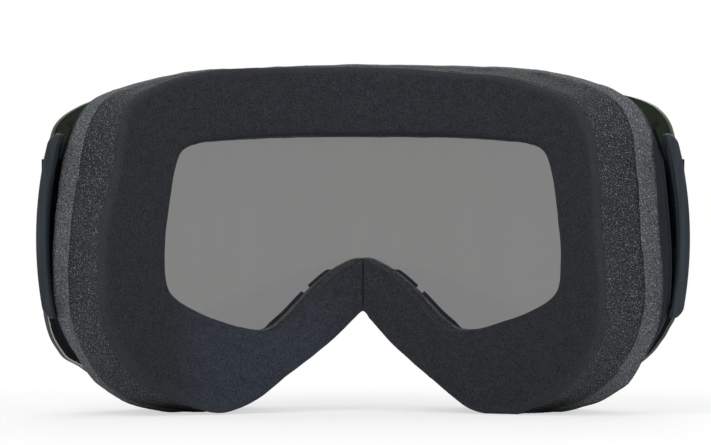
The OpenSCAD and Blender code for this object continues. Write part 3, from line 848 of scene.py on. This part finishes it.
def outrigger_mesh(mirrored):
    bm = bmesh.new()
    flat_wing(bm)
    outside = corner_edges(bm, (WING_LOW, WING_HIGH), (WING_COLUMNS[0], WING_COLUMNS[3]))
    rounded_edges(bm, outside, CORNER_R, 5)
    inside = corner_edges(bm, (SLOT_LOW, SLOT_HIGH), WING_COLUMNS[1:3])
    rounded_edges(bm, inside, SLOT_CORNER_R, 4)
    bmesh.ops.scale(bm, vec=(WING_T, 1, 1), verts=bm.verts[:])
    contour = [
        e for e in bm.edges
        if e.is_manifold and e.calc_face_angle() > SHARP_ANGLE and e.verts[0].co.x == e.verts[1].co.x
    ]
    rounded_edges(bm, contour, EDGE_R, 3)
    for v in bm.verts:
        v.co = bowed(Vector((v.co.x / WING_T, v.co.y, v.co.z)))
    for z in KNUCKLE_Z:
        knuckle(bm, z)
    flip = -1 if mirrored else 1
    bmesh.ops.scale(bm, vec=(flip * MM, MM, MM), verts=bm.verts[:])
    face_outwards(bm)
    return bm


outriggers = {}
for side in ("left", "right"):
    node = "outrigger_" + side
    wing = finished(node + "_loop", outrigger_mesh(side == "left"), "outrigger_arm_" + side)
    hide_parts(node)
    outriggers[side] = wing

# %% [markdown]
# ## Materials
# A small helper starts each material: it makes the node tree, sets the values that are the same
# all over straight on the shader's own sockets, and hands back the material to add to. Every
# pattern reads Object coordinates, which here are metres in the goggles' own frame, so a scale of
# 1000 means features of about a millimetre.

# %% Material helpers
def shader_of(material):
    return material.node_tree.nodes["Principled BSDF"]


def new_material(name, color, roughness, **inputs):
    material = bpy.data.materials.new(name)
    material.use_nodes = True
    inputs.update(Base_Color=(*color, 1), Roughness=roughness)
    for key, value in inputs.items():
        shader_of(material).inputs[key.replace("_", " ")].default_value = value
    return material


def feed(owner, socket, value):
    """Links another node's output to a socket, or sets the socket to a plain value."""
    if isinstance(value, bpy.types.NodeSocket):
        owner.node_tree.links.new(value, socket)
    else:
        socket.default_value = value


def add(owner, kind, **values):
    """Adds the node ShaderNode + kind. Each value is for the input or property of that name."""
    node = owner.node_tree.nodes.new("ShaderNode" + kind)
    for key, value in values.items():
        socket = node.inputs.get(key.replace("_", " "))
        if socket is None:
            setattr(node, key, value)
        else:
            feed(owner, socket, value)
    return node


def object_place(material):
    return add(material, "TexCoord").outputs["Object"]


def noise_at(material, scale, detail=3.0, stretch=(1, 1, 1), rough=0.5):
    """Noise on Object coordinates."""
    mapping = add(material, "Mapping", Vector=object_place(material), Scale=stretch)
    values = {"Vector": mapping.outputs[0], "Scale": scale, "Detail": detail, "Roughness": rough}
    return add(material, "TexNoise", **values).outputs["Fac"]


def ramp(material, source, stops):
    """A colour ramp with stops of (position, colour)."""
    node = add(material, "ValToRGB", Fac=source)
    elements = node.color_ramp.elements
    while len(elements) < len(stops):
        elements.new(0.5)
    for element, (position, color) in zip(elements, stops):
        element.position = position
        element.color = (*color, 1)
    return node.outputs["Color"]


def bump(material, height, strength, distance, below=None):
    """Adds a bump over the one below, if there is one, and hands back its normal."""
    node = add(material, "Bump", Height=height, Strength=strength, Distance=distance)
    if below is not None:
        feed(material, node.inputs["Normal"], below)
    feed(material, shader_of(material).inputs["Normal"], node.outputs["Normal"])
    return node.outputs["Normal"]


def mix_colors(material, share, first, second, kind="MIX"):
    node = add(material, "Mix", data_type="RGBA", blend_type=kind)
    for index, value in ((0, share), (6, first), (7, second)):
        feed(material, node.inputs[index], value)
    return node.outputs[2]


def multiply(material, first, second, share=1.0):
    return mix_colors(material, share, first, second, "MULTIPLY")


def color_to(material, output):
    feed(material, shader_of(material).inputs["Base Color"], output)


def grey(value):
    return (value, value, value)


def put_on(piece, *materials):
    """Gives a piece its materials. A mesh without any keeps the indices that its faces have."""
    slots = piece.data.materials
    if slots:
        slots.clear()
    for material in materials:
        slots.append(material)


# %% [markdown]
# A mask is a number from 0 to 1 that changes over the goggles. Masks multiplied give the places
# where all of them are high, and there another colour is laid over a material's own.

# %% Masks
def maths(owner, operation, *sources):
    node = add(owner, "Math", operation=operation)
    for socket, source in zip(node.inputs, sources):
        feed(owner, socket, source)
    return node.outputs[0]


def length_of(material, vector):
    return add(material, "VectorMath", operation="LENGTH", Vector=vector).outputs["Value"]


def soft_range(material, value, low, high, kind="SMOOTHSTEP", least=0.0):
    """Maps a value between low and high to a mask from its least value to 1."""
    ends = {"From_Min": low, "From_Max": high, "To_Min": least}
    mask = add(material, "MapRange", interpolation_type=kind, Value=value, **ends)
    return mask.outputs["Result"]


def mask_along(material, axis, low, high, absolute=False):
    """A mask from 0 to 1 along an axis of Object coordinates, in metres."""
    value = add(material, "SeparateXYZ", Vector=object_place(material)).outputs[axis]
    if absolute:
        value = maths(material, "ABSOLUTE", value)
    return soft_range(material, value, low, high)


def blend_over(material, color, mask, *more_masks, kind="MIX"):
    """Lays a colour over what the shader's base colour has now, where all the masks are high."""
    for other in more_masks:
        mask = maths(material, "MULTIPLY", mask, other)
    below = shader_of(material).inputs["Base Color"].links[0].from_socket
    color_to(material, mix_colors(material, mask, below, (*color, 1), kind))


# %% [markdown]
# ### Foam
# Open foam is a net of fine struts round small cells. From arm's length it reads as a dark grey
# ground with dark pores and tiny bright glints. The pores' darkness is painted shade and the glints
# are painted highlights, both in the base colour. A Voronoi pattern gives the cells and the painted
# pore shade, noise breaks them up and gives the painted glints, and a colour ramp sets how much of
# each there is. The coarse foam and the dense one differ mostly in their three greys.

# %% Foam materials
def foam_material(name, cell, tones, depth, contrast=0.8):
    """Foam with cells of a given size in metres. tones are its painted pore shade, its ground and its
    painted glint.
    """
    dark, middle, glint = tones
    material = new_material(name, middle, 0.95, Specular_IOR_Level=0.3)
    voronoi = add(material, "TexVoronoi", Vector=object_place(material), Scale=1 / cell)
    cells = voronoi.outputs["Distance"]
    struts = noise_at(material, 1.9 / cell, detail=2.0, rough=0.6)
    # Painted shade for the pores at the low end of the struts' noise, and painted glints at its high
    # end
    stops = [(0.36, dark), (0.48, middle), (0.58, middle), (0.7, glint)]
    ground = ramp(material, struts, stops)
    # Painted shade: each cell darkens towards its edge, where the pores are
    pore_shade = ramp(material, cells, [(0.15, grey(1.15)), (0.75, grey(0.55))])
    color_to(material, multiply(material, ground, pore_shade, contrast))
    under = bump(material, cells, 0.6, depth)
    bump(material, struts, 0.5, depth, under)
    return material


# Each foam's tones: its painted pore shade, its ground and its painted glint
COARSE_TONES = ((0.006, 0.007, 0.008), (0.03, 0.034, 0.037), (0.32, 0.35, 0.37))
DENSE_TONES = ((0.022, 0.024, 0.026), (0.096, 0.104, 0.112), (0.38, 0.4, 0.42))
FILTER_TONES = ((0.008, 0.008, 0.009), (0.03, 0.031, 0.033), (0.1, 0.1, 0.105))
coarse_foam = foam_material("coarse_foam", 0.00052, COARSE_TONES, 0.0004, 0.9)
dense_foam = foam_material("dense_foam", 0.00055, DENSE_TONES, 0.0003, 0.7)
filter_foam = foam_material("filter_foam", 0.001, FILTER_TONES, 0.0006)
put_on(coarse, coarse_foam)
put_on(base, dense_foam)
for pad in filters:
    put_on(pad, filter_foam)
print("foam materials:", coarse_foam.name, dense_foam.name, filter_foam.name)

# %% [markdown]
# ### Fleece
# The fleece is a short brushed pile that hardly shines. Noise at the size of a fibre tuft gives
# its grain, a slower one lets the pile lie a little differently from place to place, and the mark
# on its edge lets it fade into the charcoal of the foam below, where the pile thins out.

# %% Fleece material
FIBRE_DARK = (0.011, 0.012, 0.015)
FIBRE_LIGHT = (0.031, 0.033, 0.039)
EDGE_TONE = (0.034, 0.038, 0.041)

fleece_cloth = new_material(
    "fleece_cloth", FIBRE_LIGHT, 1.0, Sheen_Weight=0.04, Sheen_Roughness=0.5, Specular_IOR_Level=0.15
)
fibres = noise_at(fleece_cloth, 2600, detail=2.0, rough=0.6)
fibre_color = ramp(fleece_cloth, fibres, [(0.34, FIBRE_DARK), (0.66, FIBRE_LIGHT)])
pile = noise_at(fleece_cloth, 420, detail=2.0)
pile_shade = ramp(fleece_cloth, pile, [(0.3, grey(0.9)), (0.7, grey(1.1))])
color_to(fleece_cloth, multiply(fleece_cloth, fibre_color, pile_shade))
edge_mark = add(fleece_cloth, "Attribute", attribute_name="edge")
blend_over(fleece_cloth, EDGE_TONE, edge_mark.outputs["Fac"], fibres)
fleece_low = bump(fleece_cloth, pile, 0.2, 0.0004)
bump(fleece_cloth, fibres, 0.4, 0.0002, fleece_low)
put_on(fleece, fleece_cloth)
print("fleece:", fleece_cloth.name)

# %% [markdown]
# ### Moulded plastic
# The frame is a dark navy moulding, and the outriggers and side plates are matte. All get a fine
# grain in the bump and a slow change in tone, as moulded parts have from their tool and from
# handling. The outriggers also show faint lines along their length.

# %% Plastic materials
def plastic(name, color, roughness, grain, level=0.4, lines=False):
    material = new_material(name, color, roughness, Specular_IOR_Level=level)
    slow = noise_at(material, 45, detail=3.0)
    low = tuple(c * 0.85 for c in color)
    high = tuple(c * 1.2 for c in color)
    shade = ramp(material, slow, [(0.3, low), (0.7, high)])
    surface = bump(material, noise_at(material, 2400, detail=1.0), grain, 0.0001)
    if lines:
        streaks = noise_at(material, 900, detail=1.0, stretch=(1, 1, 0.012))
        tone = ramp(material, streaks, [(0.35, grey(0.82)), (0.65, grey(1.2))])
        shade = multiply(material, shade, tone)
        bump(material, streaks, 0.25, 0.0001, surface)
    color_to(material, shade)
    return material


frame_plastic = plastic("frame_plastic", (0.012, 0.016, 0.022), 0.6, 0.1, level=0)
plate_plastic = plastic("plate_plastic", (0.013, 0.016, 0.021), 0.6, 0.2, level=0.15)
side_plastic = plastic("side_plastic", (0.009, 0.012, 0.018), 0.5, 0.2, level=0)
outrigger_plastic = plastic(
    "outrigger_plastic", (0.019, 0.025, 0.031), 0.6, 0.35, level=0.2, lines=True
)
post_plastic = plastic("post_plastic", (0.012, 0.013, 0.015), 0.5, 0.3)
gasket_rubber = plastic("gasket_rubber", (0.01, 0.01, 0.011), 0.8, 0.4, level=0.25)
put_on(shell, frame_plastic)
put_on(plate, plate_plastic)
for side in ("left", "right"):
    put_on(nodes["side_plate_" + side], side_plastic)
    put_on(outriggers[side], outrigger_plastic)
    put_on(nodes["tear_off_post_" + side], post_plastic)
put_on(gasket, gasket_rubber)
put_on(nodes["lens_pegs"], post_plastic)
print("frame:", frame_plastic.name, "outriggers:", outrigger_plastic.name)

# %% [markdown]
# The frame's upper corners catch the green of the lens beside them, and that reflection is painted
# on: masks on Object coordinates, which rise with height and towards the sides, blend an olive tone
# over the navy there. In the same way the fleece gets painted light on the wearer's left cheek,
# where it turns a little lighter and bluer.

# %% Painted reflection on the corners and painted light on the cheek
# Painted reflection of the lens's green on the frame's upper corners and the side plates' tops
OLIVE_REFLECTION = (0.018, 0.024, 0.016)
CHEEK_LIGHT = (1.3, 1.45, 1.55)

high_up = mask_along(frame_plastic, "Z", 0.066, 0.086)
sideways = mask_along(frame_plastic, "X", 0.066, 0.082, absolute=True)
blend_over(frame_plastic, OLIVE_REFLECTION, high_up, sideways)
blend_over(side_plastic, OLIVE_REFLECTION, mask_along(side_plastic, "Z", 0.0765, 0.0805))
# Painted light on the fleece's left lower cheek: lighter and bluer there
cheek_low = mask_along(fleece_cloth, "Z", 0.046, 0.018)
cheek_left = mask_along(fleece_cloth, "X", 0.006, -0.018)
cheek_inner = mask_along(fleece_cloth, "X", -0.058, -0.044)
blend_over(fleece_cloth, CHEEK_LIGHT, cheek_low, cheek_left, cheek_inner, kind="MULTIPLY")
print("olive corners on", frame_plastic.name)

# %% [markdown]
# ### Steel
# The pins and rivets are small, so their steel only needs a slight brushed grain.

# %% Steel material
steel = new_material("bright_steel", (0.62, 0.62, 0.64), 0.28, Metallic=1.0)
brushed = noise_at(steel, 3000, detail=1.0, stretch=(1, 1, 0.1))
color_to(steel, ramp(steel, brushed, [(0.3, grey(0.5)), (0.7, grey(0.68))]))
bump(steel, brushed, 0.15, 0.00005)
for side in ("left", "right"):
    put_on(nodes["hinge_pin_" + side], steel)
    put_on(nodes["side_plate_rivets_" + side], steel)
print("steel on pins and rivets")

# %% [markdown]
# ### Smoke lens with a mirror coat
# From the wearer's side the lens is an even grey that the light comes through. From outside it
# is a green and gold mirror. Two coats of alpha do both: the inner face is a smoke tint
# and the outer face a half-see-through metal. The border is dark. Its front edge has a painted
# green reflection at the upper corners, and the line in it a painted highlight, pale only at the
# lower left.

# %% Lens materials
COAT_GREEN, COAT_GOLD = (0.14, 0.42, 0.2), (0.5, 0.56, 0.14)
SMOKE_DARK, SMOKE_LIGHT = (0.022, 0.015, 0.022), (0.036, 0.028, 0.036)
RIM_DARK = (0.02, 0.026, 0.022)
# Painted green reflection on the border's front edge at the upper corners
RIM_GREEN_REFLECTION = (0.09, 0.13, 0.02)
LINE_DARK = (0.03, 0.035, 0.03)
# Painted highlight on the border's line at the lower left
LINE_HIGHLIGHT = (0.95, 0.92, 0.82)

mirror_coat = new_material("mirror_coat", COAT_GREEN, 0.1, Metallic=1.0, Alpha=0.3)
coat_waves = noise_at(mirror_coat, 9, detail=1.0, stretch=(1, 1, 0.5))
color_to(mirror_coat, ramp(mirror_coat, coat_waves, [(0.3, COAT_GREEN), (0.7, COAT_GOLD)]))
smoke = new_material("smoke_tint", SMOKE_DARK, 0.3, Alpha=0.71, Specular_IOR_Level=0.05)
streak = noise_at(smoke, 260, detail=2.0, stretch=(1, 1, 0.01))
color_to(smoke, ramp(smoke, streak, [(0.4, SMOKE_DARK), (0.6, SMOKE_LIGHT)]))


def edge_material(name, color, roughness):
    material = new_material(name, color, roughness, Specular_IOR_Level=0.3)
    waves = noise_at(material, 60, detail=2.0)
    color_to(material, ramp(material, waves, [(0.3, color), (0.7, tuple(c * 1.3 for c in color))]))
    return material


def outer_mask(material, low, high):
    """A mask from 0 to 1 with the distance from the lens's axis, in millimetres."""
    to_axis = {"Location": (0, -LENS_Y * MM, 0), "Scale": (1, 1, 0)}
    moved = add(material, "Mapping", Vector=object_place(material), **to_axis)
    return soft_range(material, length_of(material, moved.outputs[0]), low * MM, high * MM, "LINEAR")


lens_rim = edge_material("lens_rim", RIM_DARK, 0.5)
# Masks for the painted green reflection: high up, towards the sides and at the front edge
rim_high = mask_along(lens_rim, "Z", 0.06, 0.08)
rim_side = mask_along(lens_rim, "X", 0.07, 0.085, absolute=True)
rim_front = outer_mask(lens_rim, LENS_R - 0.9, LENS_R - 0.3)
blend_over(lens_rim, RIM_GREEN_REFLECTION, rim_high, rim_side, rim_front)
lens_line = edge_material("lens_line", LINE_DARK, 0.2)
# Masks for the painted highlight: low down and on the wearer's left
line_low = mask_along(lens_line, "Z", 0.045, 0.028)
line_side = mask_along(lens_line, "X", -0.06, -0.08)
blend_over(lens_line, LINE_HIGHLIGHT, line_low, line_side)
put_on(lens, mirror_coat, smoke, lens_rim, lens_line)
print("lens materials:", [m.name for m in lens.data.materials])

# %% [markdown]
# ## Floor, world and light
# The photo is on pure white. The floor fades to that white away from the goggles and keeps their
# soft shadow close by.

# %% Floor
FLOOR_SIZE = 3.0
FLOOR_Z = -0.0002
SHADOW_REACH = (0.13, 0.34)
LEAST_WHITE = 0.6


def show_mixed(owner, share, first, second, output):
    """Mixes two shader nodes by a share from 0 to 1, and sends the mix to the output node."""
    mix = add(owner, "MixShader", Fac=share)
    feed(owner, mix.inputs[1], first.outputs[0])
    feed(owner, mix.inputs[2], second.outputs[0])
    feed(owner, owner.node_tree.nodes[output].inputs["Surface"], mix.outputs[0])


floor_bm = bmesh.new()
bmesh.ops.create_grid(floor_bm, x_segments=2, y_segments=2, size=FLOOR_SIZE)
bmesh.ops.translate(floor_bm, vec=(0, 0, FLOOR_Z), verts=floor_bm.verts[:])
floor = object_of("floor", floor_bm)

floor_paint = new_material("floor_paint", grey(0.93), 0.9, Specular_IOR_Level=0.1)
away = length_of(floor_paint, object_place(floor_paint))
fade = soft_range(floor_paint, away, *SHADOW_REACH, least=LEAST_WHITE)
rays = add(floor_paint, "LightPath").outputs
seen = maths(floor_paint, "MULTIPLY", fade, rays["Is Camera Ray"])
glow = add(floor_paint, "Emission", Strength=1.0)
show_mixed(floor_paint, seen, shader_of(floor_paint), glow, "Material Output")
put_on(floor, floor_paint)
print("floor of", 2 * FLOOR_SIZE, "m")

# %% [markdown]
# The world is white to the camera, to mirrors and through the lens, and dimmer to the surfaces
# that it lights.

# %% World
WORLD_STRENGTH = 0.62

world = bpy.data.worlds.new("studio")
scene.world = world
world.use_nodes = True
background = world.node_tree.nodes["Background"]
background.inputs["Color"].default_value = (1, 1, 1, 1)
background.inputs["Strength"].default_value = WORLD_STRENGTH
white = add(world, "Background", Color=(1, 1, 1, 1), Strength=1.0)
path = add(world, "LightPath").outputs
direct = maths(world, "MAXIMUM", path["Is Camera Ray"], path["Is Glossy Ray"])
through = maths(world, "MAXIMUM", direct, path["Is Transmission Ray"])
show_mixed(world, through, background, white, "World Output")
print("world strength for lighting:", WORLD_STRENGTH)

# %% [markdown]
# Two softboxes light the side that the camera sees, and shiny pieces don't show them. A third
# lights the front.

# %% Lamps
def softbox(name, place, power, size):
    lamp = bpy.data.lights.new(name, "AREA")
    lamp.energy = power
    lamp.shape = "RECTANGLE"
    lamp.size, lamp.size_y = size
    box = new_object(name, lamp)
    box.location = place
    box.rotation_euler = (Vector(place) - PIVOT).to_track_quat("Z", "Y").to_euler()
    return box


key = softbox("key_softbox", (-0.5, -1.0, 1.0), 9, (0.9, 0.9))
fill = softbox("fill_softbox", (0.9, -0.9, 0.8), 5, (0.8, 0.8))
softbox("front_softbox", (0.3, 1.3, 0.9), 8, (1.2, 0.7))
key.visible_glossy = False
fill.visible_glossy = False
scene.view_settings.view_transform = "Standard"
